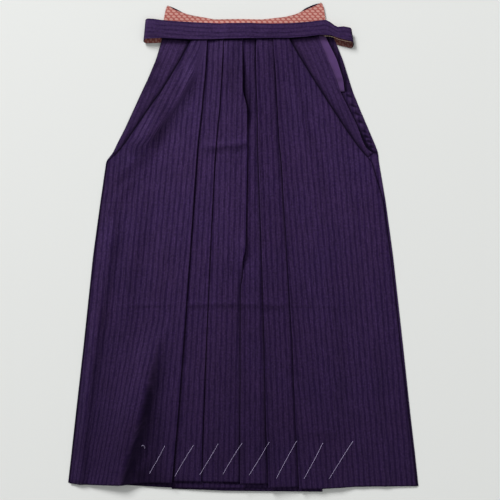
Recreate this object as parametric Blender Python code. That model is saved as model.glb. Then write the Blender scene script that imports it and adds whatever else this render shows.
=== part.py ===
# Pleated hakama with its own waist ties, laid flat, face up, on a level surface.
# Metres, +Z up. +Y points to the waist, +X to the right as the garment is looked down on.
# The origin is on the resting surface, under the middle of the outline.
import bmesh
import bpy
import numpy as np

MM = 0.001

# Cloth
CLOTH = 1.0            # wall of the pleated cloth
TIE_CLOTH = 1.5        # wall of the ties and of the waist band, which are several layers sewn flat
GAP = 0.3              # air between one layer and the next, and at seams
PITCH = CLOTH + GAP
TIE_PITCH = TIE_CLOTH + GAP
DRAPE_REACH = 14.0     # how far past an edge the cloth above it takes to come down
ARC_STEPS = 4          # flats round the outside of one folded edge
FOLD_MERGE = 2.0       # a column nearer than this to a folded edge is left out

# Main lengths. A drop is measured down the garment from the front tie's lower edge.
WAIST_Y = 421.0        # the front tie's lower edge, from the middle of the outline
TOP_DROP = -24.0       # the panels' upper edges, under the front tie
LEAF_DROP = 247.0      # the foot of the side openings, where the side seams begin
FACING_DROP = 105.0    # the foot of the side opening's facing
CROSS_DROP = 466.0     # where the two middle folds change places
HEM_DROP = 906.0

# Depth of the hidden part of each pleat
TUCK_WAIST = 24.0
TUCK_HEM = 46.0

# Where each edge and fold runs, from the middle line, at each drop
LINES = (
    "drop", "left_edge", "front_left", "fold_a", "fold_b",
    "fold_d", "fold_e", "front_right", "leaf_right", "facing_right", "right_edge",
)
SECTIONS = (
    (-24, -164, -102, -74, -41, 28, 62, 89, 150, 162, 175),
    (0, -166, -106, -74, -41, 28, 62, 94, 156, 171, 187),
    (40, -178, -128, -76, -43, 27, 65, 118, 173, 191, 203),
    (80, -195, -152, -79, -45, 28, 68, 143, 190, 204, 216),
    (105, -207, -168, -82, -47, 29, 69, 159, 198, 207, 224),
    (140, -223, -193, -85, -49, 30, 71, 181.5, 215, 219, 238),
    (175, -239, -217, -89, -53, 31, 73, 204.5, 233, 236, 253),
    (210, -257, -241, -93, -56, 31, 75, 229, 250, 253, 268),
    (230, -266.5, -256.5, -95, -57.5, 31.5, 77, 244.5, 265, 268, 275.5),
    (247, -280, -277, -96, -59, 32, 79, 262, 271, 273, 277),
    (330, -292, -289, -102, -63, 35, 83.5, 286, 287.5, 289, 291),
    (440, -307, -304, -109.5, -68.5, 39, 90.5, 301, 302.5, 304, 306),
    (620, -326, -323, -122.5, -76.5, 44.4, 101.3, 321, 322.5, 324, 326),
    (770, -343, -340, -134, -82.5, 47.2, 107, 338, 339.2, 340.4, 342),
    (906, -358, -355, -146, -86.5, 53, 115.3, 354, 355.2, 356.4, 358),
)

# The two middle folds face each other. The left one lies on top above CROSS_DROP, the right one below it.
# Just there their edges only meet, and order is how far the left one is on top, from 1 to 0.
MIDDLE_COLUMNS = ("drop", "left_fold", "right_fold", "order")
MIDDLE = (
    (-24, -2.5, -9.0, 1.0),
    (105, -2.0, -8.0, 1.0),
    (140, 7.0, -7.0, 1.0),
    (210, 8.0, -7.0, 1.0),
    (430, 4.0, -7.0, 1.0),
    (448, -2.0, 0.8, 1.0),
    (CROSS_DROP, -2.0, 0.8, 0.5),
    (484, -2.0, 0.8, 0.0),
    (502, 5.0, -3.6, 0.0),
    (906, 5.6, -5.0, 0.0),
)

ROWS = (
    TOP_DROP, 0, 40, 80, FACING_DROP, 140, 175, 210, 230, LEAF_DROP, 330,
    430, 448, CROSS_DROP, 484, 502, 560, 620, 695, 770, 840, HEM_DROP,
)

# The hem of each layer: drop at a place across it
HEMS = {
    "back_right": ((-70, 913), (360, 911)),
    "back_middle": ((-150, 917), (-64, 918.5), (-62, 920), (160, 922)),
    "back_left": ((-358, 904), (-240, 909), (-140, 914), (60, 914)),
    "front_middle_under": ((-60, 904), (60, 907)),
    "front_pleat_2": ((-140, 904), (10, 905.5)),
    "front_pleat_3": ((-10, 909), (110, 909)),
    "front_pleat_1": ((-200, 904), (-80, 904)),
    "front_pleat_4": ((50, 915), (170, 913)),
    "front_side_left": ((-358, 906), (-340, 909), (-240, 909), (-210, 904), (-140, 904)),
    "front_side_right": ((110, 915), (160, 915), (240, 911.5), (358, 911)),
}

# Large soft folds of the two side panels: a ridge from its start to its end, in place and drop
RIDGE_COLUMNS = ("layer", "x0", "drop0", "x1", "drop1", "half_width", "height")
RIDGE_FADE = 0.35      # share of a ridge over which it rises, and over which it sinks again
RIDGES = (
    ("front_side_left", -190, 620, -270, 960, 38, 7.0),
    ("front_side_left", -165, 150, -225, 260, 30, 3.5),
    ("front_side_left", -215, 330, -255, 640, 36, 2.5),
    ("front_side_right", 170, 260, 215, 560, 40, 2.5),
    ("front_side_right", 235, 560, 275, 960, 42, 3.5),
)

# Front tie: place along it, and the drops of its upper and lower edges
TIE_COLUMNS = ("x", "top", "bottom")
TIE = (
    (-195, -41, 0),
    (-170, -38, -1),
    (-109, -34, 1),
    (-48, -30, 2),
    (14, -31, 0),
    (96, -31, -2),
    (137, -35, -4),
    (167, -38, -6),
    (180, -32, -5),
    (194, -24, 0),
    (214, -22, 3),
)
TIE_LEFT, TIE_RIGHT = -197.0, 218.0     # the middles of its two folded ends
TIE_RIGHT_FOOT = 3.0                    # the drop of its lowest point, at its right end
TIE_LOOP = 10.5                         # height of a folded end, over its walls' middles
TIE_LEFT_END, TIE_RIGHT_END = -46.0, 66.0   # where the parts turned under end
TIE_SLANT = -4.0                        # how far a folded end's lower corner stands out
TIE_SLANT_FROM, TIE_SLANT_RUN = 150.0, 45.0 # where along the tie that slant begins, and how soon it is full
TIE_MIDDLE = 10.0                       # the middle of its length
TIE_CLEAR = 0.4                         # air between the tie and the highest pleat, beyond the usual gap
TIE_END_RUN, TIE_END_RISE = 14.0, 0.6   # the last stretch before a folded end, and its small rise
TIE_TURNED_STEPS, TIE_LOOP_STEPS = 6, 9
TIE_UNDER_DROP_LEFT, TIE_UNDER_DROP_RIGHT = 7.0, 12.0   # how much lower the turned parts lie
TIE_ROWS = 3

# Back waist band: place, and the drop of its upper edge
BAND_COLUMNS = ("x", "top")
BAND = (
    (-157, -74),
    (-146, -65),
    (-133, -59),
    (-109, -51),
    (-58, -42),
    (-7, -43),
    (38, -42),
    (85, -47),
    (106, -52),
    (126, -61),
    (147, -70),
    (163, -79),
)
BAND_FOOT = TOP_DROP - 1.3
BAND_FOOT_LEFT, BAND_FOOT_RIGHT = -165.0, 170.0
BAND_ROWS = 4

# Back ties, turned in behind the band: place, and the drop of the upper edge
BACK_TIE_FOOT = -36.0
BACK_TIE_LEFT = ((-155, -71), (-146, -68), (-133, -62), (-109, -48), (-58, -41.5), (-8, -41.5))
BACK_TIE_RIGHT = ((-4, -41.5), (70, -41.5), (106, -48), (126, -65), (147, -74), (161, -76))

PURPLE = (0.042, 0.022, 0.075)
COLOURS = {
    "cloth": PURPLE,
    "lining": (0.43, 0.09, 0.075),
    "facing": (0.14, 0.075, 0.24),
}
CLOTH_ROUGHNESS = 0.8


def table(columns, rows):
    """The rows of a table as one array for each named column."""
    return {name: np.array([row[i] for row in rows], float) for i, name in enumerate(columns)}


def smooth(t):
    t = np.clip(t, 0.0, 1.0)
    return t * t * (3.0 - 2.0 * t)


class Grid:
    """Columns that follow the folds down the garment. Every layer uses the same ones, so none cross."""

    def __init__(self):
        lines = table(LINES, SECTIONS)
        middle = table(MIDDLE_COLUMNS, MIDDLE)
        self.drops = np.array(ROWS, float)
        at = {name: np.interp(self.drops, lines["drop"], lines[name]) for name in LINES[1:]}
        folds = {name: np.interp(self.drops, middle["drop"], middle[name]) for name in MIDDLE_COLUMNS[1:]}
        self.order = folds["order"]
        self.left_fold, self.right_fold = folds["left_fold"], folds["right_fold"]
        tuck = np.interp(self.drops, (0.0, HEM_DROP), (TUCK_WAIST, TUCK_HEM))
        at["under_a"] = at["fold_a"] - tuck
        at["under_b"] = at["fold_b"] - tuck
        at["under_left"] = np.minimum(self.left_fold, 6.0) - tuck
        at["under_right"] = np.maximum(self.right_fold, -7.0) + tuck
        at["under_d"] = at["fold_d"] + tuck
        at["under_e"] = at["fold_e"] + tuck
        self.names, self.places = [], []
        self.put("left_edge", at["left_edge"])
        self.fill("leaf_left", at["left_edge"], at["front_left"], (0.35, 0.7))
        self.put("front_left", at["front_left"])
        self.fill("side_left", at["front_left"], at["under_a"], (0.14, 0.3, 0.47, 0.64, 0.82))
        for name in ("under_a", "fold_a", "under_b", "fold_b"):
            self.put(name, at[name])
        self.put("back_step", 0.5 * (at["fold_b"] + at["under_left"]))
        for name in ("under_left", "under_right", "fold_d", "under_d", "fold_e", "under_e"):
            self.put(name, at[name])
        self.fill("side_right", at["under_e"], at["front_right"], (0.18, 0.36, 0.53, 0.7, 0.86))
        self.put("front_right", at["front_right"])
        self.fill("leaf_right_in", at["front_right"], at["leaf_right"], (0.5,))
        for name in ("leaf_right", "facing_right", "right_edge"):
            self.put(name, at[name])
        self.x = np.array(self.places).T

    def put(self, name, place):
        self.names.append(name)
        self.places.append(place)

    def fill(self, name, start, end, shares):
        for number, share in enumerate(shares, 1):
            self.put(f"{name}_{number}", start + share * (end - start))

    def index(self, name):
        return self.names.index(name)


class Layer:
    """One stretch of cloth between two columns. A left or right fold turns it under, back to a third column."""

    def __init__(self, grid, start, end, pitch=PITCH, last_drop=None, flat=None):
        self.grid = grid
        self.start, self.end = grid.index(start), grid.index(end)
        first, last = max(self.start - 1, 0), min(self.end + 1, len(grid.names) - 1)
        if flat:
            first = min(first, grid.index(flat[0]))
            last = max(last, grid.index(flat[1]))
        low, high = grid.x[:, first:first + 1], grid.x[:, last:last + 1]
        outside = np.maximum(np.maximum(low - grid.x, grid.x - high), 0.0)
        self.lift = pitch * (1.0 - smooth(outside / DRAPE_REACH))
        if last_drop is not None:
            rows = grid.drops[:, None]
            following = grid.drops[grid.drops > last_drop + 0.5].min()
            self.lift = self.lift * (1.0 - smooth((rows - following) / (4.0 * DRAPE_REACH)))
        self.z = None


def heights(grid):
    """Stacks the layers and gives each its middle height, in mm, at every row and column of the grid."""
    middle = ("under_left", "under_right")
    layers = {
        "tie_under_left": Layer(grid, "left_edge", "fold_b", TIE_PITCH, TIE_UNDER_DROP_LEFT),
        "tie_under_right": Layer(grid, "fold_e", "right_edge", TIE_PITCH, TIE_UNDER_DROP_RIGHT + TIE_RIGHT_FOOT),
        "back_right": Layer(grid, "back_step", "right_edge"),
        "back_middle_turned": Layer(grid, "back_step", "under_e"),
        "back_middle": Layer(grid, "fold_a", "under_e"),
        "back_left_turned": Layer(grid, "fold_a", "fold_d"),
        "back_left": Layer(grid, "left_edge", "fold_d"),
        "side_facing_right": Layer(grid, "leaf_right_in_1", "facing_right", PITCH, FACING_DROP),
        "side_pleat_left": Layer(grid, "left_edge", "side_left_1", PITCH, LEAF_DROP),
        "side_pleat_right": Layer(grid, "side_right_5", "leaf_right", PITCH, LEAF_DROP),
        "front_middle_under": Layer(grid, *middle),
        "front_pleat_2_turned": Layer(grid, "under_left", "under_left", flat=middle),
        "front_pleat_2": Layer(grid, "under_b", "under_left", flat=middle),
        "front_pleat_3_turned": Layer(grid, "under_right", "under_right", flat=middle),
        "front_pleat_3": Layer(grid, "under_right", "under_d", flat=middle),
        "front_pleat_1_turned": Layer(grid, "under_b", "fold_b"),
        "front_pleat_1": Layer(grid, "under_a", "fold_b"),
        "front_side_left_turned": Layer(grid, "under_a", "fold_a"),
        "front_side_left": Layer(grid, "front_left", "fold_a"),
        "front_pleat_4_turned": Layer(grid, "fold_d", "under_d"),
        "front_pleat_4": Layer(grid, "fold_d", "under_e"),
        "front_side_right_turned": Layer(grid, "fold_e", "under_e"),
        "front_side_right": Layer(grid, "fold_e", "front_right"),
    }
    left_pair = ("front_pleat_2_turned", "front_pleat_2")
    right_pair = ("front_pleat_3_turned", "front_pleat_3")
    total = np.zeros_like(grid.x)
    left_on_top = grid.order[:, None]
    for name, layer in layers.items():
        if name == left_pair[0]:
            below = total.copy()
        layer.z = total + CLOTH / 2
        total = total + layer.lift
    for pair, other, share in ((left_pair, right_pair, left_on_top), (right_pair, left_pair, 1 - left_on_top)):
        level = below + share * sum(layers[name].lift for name in other)
        for name in pair:
            layers[name].z = level + CLOTH / 2
            level = level + layers[name].lift
    return layers, total


def ridge_lift(name, x, drop):
    """Extra height of a side panel's large soft folds."""
    lift = np.zeros_like(x)
    for row in RIDGES:
        ridge = dict(zip(RIDGE_COLUMNS, row))
        if ridge["layer"] != name:
            continue
        start = np.array((ridge["x0"], ridge["drop0"]), float)
        run = np.array((ridge["x1"], ridge["drop1"]), float) - start
        length = np.hypot(*run)
        along = run / length
        travel = (x - start[0]) * along[0] + (drop - start[1]) * along[1]
        aside = (x - start[0]) * along[1] - (drop - start[1]) * along[0]
        fade = RIDGE_FADE * length
        ends = smooth(travel / fade) * smooth((length - travel) / fade)
        lift = lift + ridge["height"] * ends * (1.0 - smooth(np.abs(aside) / ridge["half_width"]))
    return lift


def solid_from_walls(name, outer, inner, material):
    """A closed wall between two sheets of points, each an array of rows, points along a row, and x, y, z in mm."""
    rows, count = outer.shape[:2]
    ring = np.concatenate((outer, inner[:, ::-1]), axis=1)
    size = ring.shape[1]
    mesh = bpy.data.meshes.new(name)
    work = bmesh.new()
    grid = [[work.verts.new(point * MM) for point in row] for row in ring]
    for lower, upper in zip(grid, grid[1:]):
        for i in range(size):
            j = (i + 1) % size
            # The diagonal runs the same way over the ground on every layer, so that stacked faces keep their gap.
            if lower[i].co.x <= lower[j].co.x:
                corners = ((lower[i], lower[j], upper[j]), (lower[i], upper[j], upper[i]))
            else:
                corners = ((lower[i], lower[j], upper[i]), (lower[j], upper[j], upper[i]))
            for corner in corners:
                work.faces.new(corner)
    for row in (grid[0], grid[-1]):
        for i in range(count - 1):
            work.faces.new((row[i], row[i + 1], row[size - 2 - i], row[size - 1 - i]))
    bmesh.ops.recalc_face_normals(work, faces=work.faces)
    work.to_mesh(mesh)
    work.free()
    mesh.materials.append(material)
    mesh.shade_smooth()
    mesh.set_sharp_from_angle(angle=0.7)
    return bpy.data.objects.new(name, mesh)


def folded_wall(grid, layers, name, fold=None, rows=None):
    """The outer and inner points of a layer, with the turned part and its round edge where it has one.

    fold is the side of the folded edge, its places down the garment, and the column where the turned part ends.
    """
    layer = layers[name]
    rows = range(len(grid.drops)) if rows is None else rows
    columns = list(range(layer.start, layer.end + 1))
    outer, inner = [], []
    for row in rows:
        here = grid.x[row]
        z_line = layer.z[row] + ridge_lift(name, here, np.full_like(here, grid.drops[row]))
        x = here[columns]
        top_x, turned_x = x, []
        if fold:
            side, places, turned_to = fold
            edge = places[row]
            if side > 0:
                top_x = np.append(x[x < edge - FOLD_MERGE], edge)
            else:
                top_x = np.append(x[x > edge + FOLD_MERGE][::-1], edge)
            between = (here - edge) * side < -FOLD_MERGE
            beyond = (here - here[turned_to]) * side > -1e-6
            turned_x = here[between & beyond]
            if side > 0:
                turned_x = turned_x[::-1]
            z_turned = layers[name + "_turned"].z[row]
        top_z = np.interp(top_x, here, z_line)
        up = [(a, b + CLOTH / 2) for a, b in zip(top_x, top_z)]
        down = [(a, b - CLOTH / 2) for a, b in zip(top_x, top_z)]
        if fold:
            low_z = np.interp(edge, here, z_turned)
            centre, radius = (top_z[-1] + low_z) / 2, (top_z[-1] - low_z) / 2
            for step in range(1, ARC_STEPS):
                angle = np.pi * step / ARC_STEPS
                across, along = side * np.sin(angle), np.cos(angle)
                up.append((edge + across * (radius + CLOTH / 2), centre + along * (radius + CLOTH / 2)))
                down.append((edge + across * (radius - CLOTH / 2), centre + along * (radius - CLOTH / 2)))
            for a in np.insert(turned_x, 0, edge):
                b = np.interp(a, here, z_turned)
                up.append((a, b - CLOTH / 2))
                down.append((a, b + CLOTH / 2))
        outer.append((row, up))
        inner.append((row, down))
    return tuple(np.array([placed(grid, name, row, points) for row, points in part]) for part in (outer, inner))


def placed(grid, name, row, points):
    """The points of one row in x, y and z. The last row follows the layer's own hem."""
    points = np.array(points, float)
    drop = np.full(len(points), grid.drops[row])
    if row == len(grid.drops) - 1:
        hem = np.array(HEMS[name], float)
        drop = np.interp(points[:, 0], hem[:, 0], hem[:, 1])
    return np.column_stack((points[:, 0], WAIST_Y - drop, points[:, 1]))


def front_tie(grid, total):
    """The ribbon of the front tie: over the pleats, round a loop at each side, and back beneath."""
    tie = table(TIE_COLUMNS, TIE)
    waist_rows = [row for row, drop in enumerate(grid.drops) if drop <= 1.0]
    xs = grid.x[waist_rows[-1]]
    clear = np.max([np.interp(xs, grid.x[row], total[row]) for row in waist_rows], axis=0)
    over = clear + TIE_CLOTH / 2 + TIE_CLEAR
    loop_z = TIE_LOOP + TIE_CLOTH / 2
    path_x = np.concatenate(([TIE_LEFT, TIE_LEFT + TIE_END_RUN], xs, [TIE_RIGHT - TIE_END_RUN, TIE_RIGHT]))
    end_z = loop_z + TIE_END_RISE
    path_z = np.concatenate(([loop_z, end_z], np.maximum(over, loop_z), [end_z, loop_z]))
    keep = np.concatenate(([True], np.diff(path_x) > 4.0))
    path_x, path_z = path_x[keep], path_z[keep]
    rest_z = TIE_CLOTH / 2
    radius = (loop_z - rest_z) / 2
    centre = rest_z + radius
    points, normals, under = [], [], []
    for x in np.linspace(TIE_LEFT_END, TIE_LEFT, TIE_TURNED_STEPS)[:-1]:
        points.append((x, rest_z))
        normals.append((0, -1))
        under.append(1.0)
    for angle in np.linspace(-np.pi / 2, -3 * np.pi / 2, TIE_LOOP_STEPS):
        points.append((TIE_LEFT + radius * np.cos(angle), centre + radius * np.sin(angle)))
        normals.append((np.cos(angle), np.sin(angle)))
        under.append(0.5 - 0.5 * np.sin(angle))
    slopes = np.gradient(path_z, path_x)
    for x, z, slope in zip(path_x[1:-1], path_z[1:-1], slopes[1:-1]):
        points.append((x, z))
        normals.append((-slope / np.hypot(1, slope), 1 / np.hypot(1, slope)))
        under.append(0.0)
    for angle in np.linspace(np.pi / 2, -np.pi / 2, TIE_LOOP_STEPS):
        points.append((TIE_RIGHT + radius * np.cos(angle), centre + radius * np.sin(angle)))
        normals.append((np.cos(angle), np.sin(angle)))
        under.append(0.5 - 0.5 * np.sin(angle))
    for x in np.linspace(TIE_RIGHT, TIE_RIGHT_END, TIE_TURNED_STEPS)[1:]:
        points.append((x, rest_z))
        normals.append((0, -1))
        under.append(1.0)
    points, normals, under = np.array(points), np.array(normals), np.array(under)
    lower = under * np.where(points[:, 0] < 0, TIE_UNDER_DROP_LEFT, TIE_UNDER_DROP_RIGHT)
    top = np.interp(points[:, 0], tie["x"], tie["top"]) + lower
    bottom = np.interp(points[:, 0], tie["x"], tie["bottom"]) + lower
    ends = smooth((np.abs(points[:, 0] - TIE_MIDDLE) - TIE_SLANT_FROM) / TIE_SLANT_RUN)
    outer, inner = [], []
    for share in np.linspace(0, 1, TIE_ROWS):
        drop = top + share * (bottom - top)
        slant = TIE_SLANT * (share - 0.5) * ends * np.sign(-points[:, 0])
        for side, rows in ((0.5, outer), (-0.5, inner)):
            x = points[:, 0] + slant + side * TIE_CLOTH * normals[:, 0]
            z = points[:, 1] + side * TIE_CLOTH * normals[:, 1]
            rows.append(np.column_stack((x, WAIST_Y - drop, z)))
    return np.array(outer), np.array(inner)


def back_band(grid, layers):
    """The back's waist band, inner face up, from the panels' upper edge to its own curved edge."""
    band = table(BAND_COLUMNS, BAND)
    share_x = (band["x"] - band["x"][0]) / (band["x"][-1] - band["x"][0])
    foot_x = BAND_FOOT_LEFT + share_x * (BAND_FOOT_RIGHT - BAND_FOOT_LEFT)
    heights_there = []
    for name in ("back_right", "back_middle", "back_left"):
        layer = layers[name]
        inside = slice(layer.start, layer.end + 1)
        heights_there.append(
            np.interp(foot_x, grid.x[0][inside], layer.z[0][inside], left=0.0, right=0.0)
        )
    foot_z = np.maximum(np.max(heights_there, axis=0), TIE_PITCH + TIE_CLOTH / 2)
    top_z = TIE_PITCH + TIE_CLOTH / 2
    outer, inner = [], []
    for share in np.linspace(0, 1, BAND_ROWS):
        x = band["x"] + share * (foot_x - band["x"])
        drop = band["top"] + share * (BAND_FOOT - band["top"])
        z = top_z + smooth(share) * (foot_z - top_z)
        for side, rows in ((0.5, outer), (-0.5, inner)):
            rows.append(np.column_stack((x, WAIST_Y - drop, z + side * TIE_CLOTH)))
    return np.array(outer), np.array(inner)


def back_tie(edge):
    """A back tie's stub, flat on the surface behind the band."""
    edge = np.array(edge, float)
    outer, inner = [], []
    for share in (0.0, 1.0):
        drop = edge[:, 1] + share * (BACK_TIE_FOOT - edge[:, 1])
        for z, rows in ((TIE_CLOTH, outer), (0.0, inner)):
            rows.append(np.column_stack((edge[:, 0], WAIST_Y - drop, np.full(len(edge), z))))
    return np.array(outer), np.array(inner)


def cloth_material(name, colour):
    material = bpy.data.materials.new(name)
    material.use_nodes = True
    shader = material.node_tree.nodes["Principled BSDF"]
    shader.inputs["Base Color"].default_value = (*colour, 1.0)
    shader.inputs["Roughness"].default_value = CLOTH_ROUGHNESS
    shader.inputs["Metallic"].default_value = 0.0
    material.diffuse_color = (*colour, 1.0)
    return material


def build():
    for thing in list(bpy.data.objects):
        bpy.data.objects.remove(thing, do_unlink=True)
    collection = bpy.data.collections.new("hakama")
    bpy.context.scene.collection.children.link(collection)
    materials = {name: cloth_material(name, colour) for name, colour in COLOURS.items()}
    grid = Grid()
    layers, total = heights(grid)
    column = {name: grid.x[:, grid.index(name)] for name in grid.names}
    upper_rows = [row for row, drop in enumerate(grid.drops) if drop <= LEAF_DROP]
    facing_rows = [row for row, drop in enumerate(grid.drops) if drop <= FACING_DROP]
    folds = {
        "back_middle": (1, column["under_e"], grid.index("back_step")),
        "back_left": (1, column["fold_d"], grid.index("fold_a")),
        "front_pleat_2": (1, grid.left_fold, grid.index("under_left")),
        "front_pleat_3": (-1, grid.right_fold, grid.index("under_right")),
        "front_pleat_1": (1, column["fold_b"], grid.index("under_b")),
        "front_side_left": (1, column["fold_a"], grid.index("under_a")),
        "front_pleat_4": (-1, column["fold_d"], grid.index("under_d")),
        "front_side_right": (-1, column["fold_e"], grid.index("under_e")),
    }
    walls = {}
    for name in HEMS:
        walls[name] = folded_wall(grid, layers, name, folds.get(name))
    for name in ("side_pleat_left", "side_pleat_right"):
        walls[name] = folded_wall(grid, layers, name, rows=upper_rows)
    walls["side_facing_right"] = folded_wall(grid, layers, "side_facing_right", rows=facing_rows)
    walls["front_tie"] = front_tie(grid, total)
    walls["back_band"] = back_band(grid, layers)
    walls["back_tie_left"] = back_tie(BACK_TIE_LEFT)
    walls["back_tie_right"] = back_tie(BACK_TIE_RIGHT)
    finish = {"back_band": "lining", "side_facing_right": "facing"}
    for name, (outer, inner) in walls.items():
        material = materials[finish.get(name, "cloth")]
        collection.objects.link(solid_from_walls(name, outer, inner, material))


build()
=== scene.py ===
import math

import bpy
import numpy as np
from mathutils.bvhtree import BVHTree
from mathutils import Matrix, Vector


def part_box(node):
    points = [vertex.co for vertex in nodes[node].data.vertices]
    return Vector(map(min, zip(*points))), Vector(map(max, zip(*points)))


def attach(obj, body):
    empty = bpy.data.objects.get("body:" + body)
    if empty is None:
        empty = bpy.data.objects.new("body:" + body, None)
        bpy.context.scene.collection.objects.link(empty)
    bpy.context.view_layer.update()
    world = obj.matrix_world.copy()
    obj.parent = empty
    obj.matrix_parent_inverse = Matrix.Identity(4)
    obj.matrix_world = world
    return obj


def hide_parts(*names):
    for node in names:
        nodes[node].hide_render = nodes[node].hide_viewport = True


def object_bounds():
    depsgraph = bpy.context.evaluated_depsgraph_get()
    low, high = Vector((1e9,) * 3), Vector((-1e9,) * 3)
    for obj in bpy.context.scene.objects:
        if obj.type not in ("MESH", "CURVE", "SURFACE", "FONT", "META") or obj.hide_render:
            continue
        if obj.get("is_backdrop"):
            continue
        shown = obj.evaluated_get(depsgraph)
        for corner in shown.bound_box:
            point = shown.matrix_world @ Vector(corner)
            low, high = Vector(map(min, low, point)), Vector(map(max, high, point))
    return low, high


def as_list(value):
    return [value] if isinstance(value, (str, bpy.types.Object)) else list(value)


# Pleated hakama laid flat, face up, in soft daylight on a pale floor.
# Metres, +Y to the waist, +Z out of the floor. Each piece of cloth follows the form of its solid.
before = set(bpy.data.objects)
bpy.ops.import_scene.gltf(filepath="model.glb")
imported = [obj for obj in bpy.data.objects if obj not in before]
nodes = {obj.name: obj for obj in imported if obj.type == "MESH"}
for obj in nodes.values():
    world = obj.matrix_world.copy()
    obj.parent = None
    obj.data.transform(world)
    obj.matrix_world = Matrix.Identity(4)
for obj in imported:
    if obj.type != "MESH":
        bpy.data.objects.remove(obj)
cadBox = [list(corner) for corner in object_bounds()]

photo = {
    "metresPerPixel": 0.002045,
    "middleX": 243.25,      # pixel column and row of the frame's origin
    "middleY": 246.25,
    "size": 500,
}


def place(px, py):
    scale = photo["metresPerPixel"]
    return ((px - photo["middleX"]) * scale, (photo["middleY"] - py) * scale)


def places(pixels):
    return np.array([place(px, py) for px, py in pixels])


# Small number tools

def smoothStep(t):
    t = np.clip(t, 0.0, 1.0)
    return t * t * (3.0 - 2.0 * t)


def soften(values, axis, passes):
    # A rolling average that leaves the two ends as they are
    values = np.moveaxis(np.array(values, float), axis, 0)
    for _ in range(passes):
        inner = 0.25 * values[:-2] + 0.5 * values[1:-1] + 0.25 * values[2:]
        values = np.concatenate((values[:1], inner, values[-1:]))
    return np.moveaxis(values, 0, axis)


def softNoise(x, y, sizeX, sizeY, seed):
    # Smooth bumps from -1 to 1, about sizeX by sizeY metres each
    table = np.random.RandomState(seed).uniform(-1, 1, (64, 64))
    gx, gy = np.asarray(x) / sizeX + 1000.0, np.asarray(y) / sizeY + 1000.0
    ix, iy = np.floor(gx).astype(int), np.floor(gy).astype(int)
    tx, ty = smoothStep(gx - ix), smoothStep(gy - iy)
    corner = lambda dx, dy: table[(ix + dx) % 64, (iy + dy) % 64]
    low = corner(0, 0) * (1 - tx) + corner(1, 0) * tx
    high = corner(0, 1) * (1 - tx) + corner(1, 1) * tx
    return low * (1 - ty) + high * ty


def lineNoise(t, amount, size, seed):
    # A factor about 1 that changes softly along a line
    return 1.0 + amount * softNoise(t, t * 0, size, 1.0, seed)


# Reading the solids

def facesOf(nodeName):
    mesh = nodes[nodeName].data
    mesh.calc_loop_triangles()
    points = np.empty(len(mesh.vertices) * 3)
    mesh.vertices.foreach_get("co", points)
    corners = np.empty(len(mesh.loop_triangles) * 3, int)
    mesh.loop_triangles.foreach_get("vertices", corners)
    return points.reshape(-1, 3)[corners.reshape(-1, 3)]


def cutThrough(faces, axis, value):
    # Where faces cross an upright plane, as segments of (place along the plane, height)
    side = faces[:, :, axis] - (value + 1.37e-7)
    crossing = (side.min(1) < 0) & (side.max(1) > 0)
    near, side = faces[crossing], side[crossing]
    hits, points = [], []
    for i, j in ((0, 1), (1, 2), (2, 0)):
        hit = side[:, i] * side[:, j] < 0
        share = side[:, i] / np.where(hit, side[:, i] - side[:, j], 1.0)
        points.append((near[:, i] + share[:, None] * (near[:, j] - near[:, i]))[:, [1 - axis, 2]])
        hits.append(hit)
    order = np.argsort(~np.stack(hits, 1), axis=1, kind="stable")[:, :2]
    return np.take_along_axis(np.stack(points, 1), order[:, :, None], axis=1)


def topOf(segments, where):
    # The highest crossing above each place
    start, end = segments[:, 0], segments[:, 1]
    low, high = np.minimum(start[:, 0], end[:, 0]), np.maximum(start[:, 0], end[:, 0])
    run = end[:, 0] - start[:, 0]
    flat = np.abs(run) < 1e-9
    share = (where[None, :] - start[:, :1]) / np.where(flat, 1.0, run)[:, None]
    z = start[:, 1:] + np.clip(share, 0, 1) * (end[:, 1:] - start[:, 1:])
    inside = (where[None, :] >= low[:, None] - 1e-6) & (where[None, :] <= high[:, None] + 1e-6)
    return np.where(inside, z, -1.0).max(0)


# Building walls of cloth

def addThing(name, data):
    thing = bpy.data.objects.new(name, data)
    bpy.context.scene.collection.objects.link(thing)
    return thing


def addMesh(name, vertices, faces, maps):
    # A smooth mesh in the scene, with its maps given corner by corner
    mesh = bpy.data.meshes.new(name)
    mesh.from_pydata(vertices, [], faces)
    for label, values in maps.items():
        mesh.uv_layers.new(name=label).data.foreach_set("uv", np.ravel(values))
    mesh.shade_smooth()
    return addThing(name, mesh)


def wallMesh(name, centre, normal, thickness, clothMap, shade, insideSlot=0):
    # A closed wall about a sheet of points. centre is rows by points by 3, and clothMap rows by points by 2.
    outer, inner = centre + normal * thickness / 2, centre - normal * thickness / 2
    ring = np.concatenate((outer, inner[:, ::-1]), axis=1)
    marks = np.concatenate((clothMap, clothMap[:, ::-1]), axis=1).reshape(-1, 2)
    shades = np.concatenate((shade, shade[:, ::-1]), axis=1).reshape(-1)
    rows, size = ring.shape[:2]
    count = centre.shape[1]
    index = np.arange(rows * size).reshape(rows, size)
    following = np.roll(index, -1, axis=1)
    sides = np.stack((index[:-1], following[:-1], following[1:], index[1:]), axis=-1).reshape(-1, 4)
    start = np.arange(count - 1)
    caps = np.stack((start, start + 1, size - 2 - start, size - 1 - start), axis=-1)
    faces = np.concatenate((sides, index[0][caps[:, ::-1]], index[-1][caps]))
    vertices = ring.reshape(-1, 3)
    a, b, c, d = (vertices[faces[:, k]] for k in range(4))
    volume = (a * np.cross(b, c)).sum() + (a * np.cross(c, d)).sum()
    if volume < 0:
        faces = faces[:, ::-1]
    corners = faces.reshape(-1)
    maps = {"clothMap": marks[corners], "shadeMap": np.column_stack((shades, shades))[corners]}
    thing = addMesh(name, vertices.tolist(), faces.tolist(), maps)
    if insideSlot:
        inside = (faces % size >= count).all(axis=1)
        thing.data.polygons.foreach_set("material_index", np.where(inside, insideSlot, 0))
    thing.data.set_sharp_from_angle(angle=math.radians(cloth["sharpAngle"]))
    return thing


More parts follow.
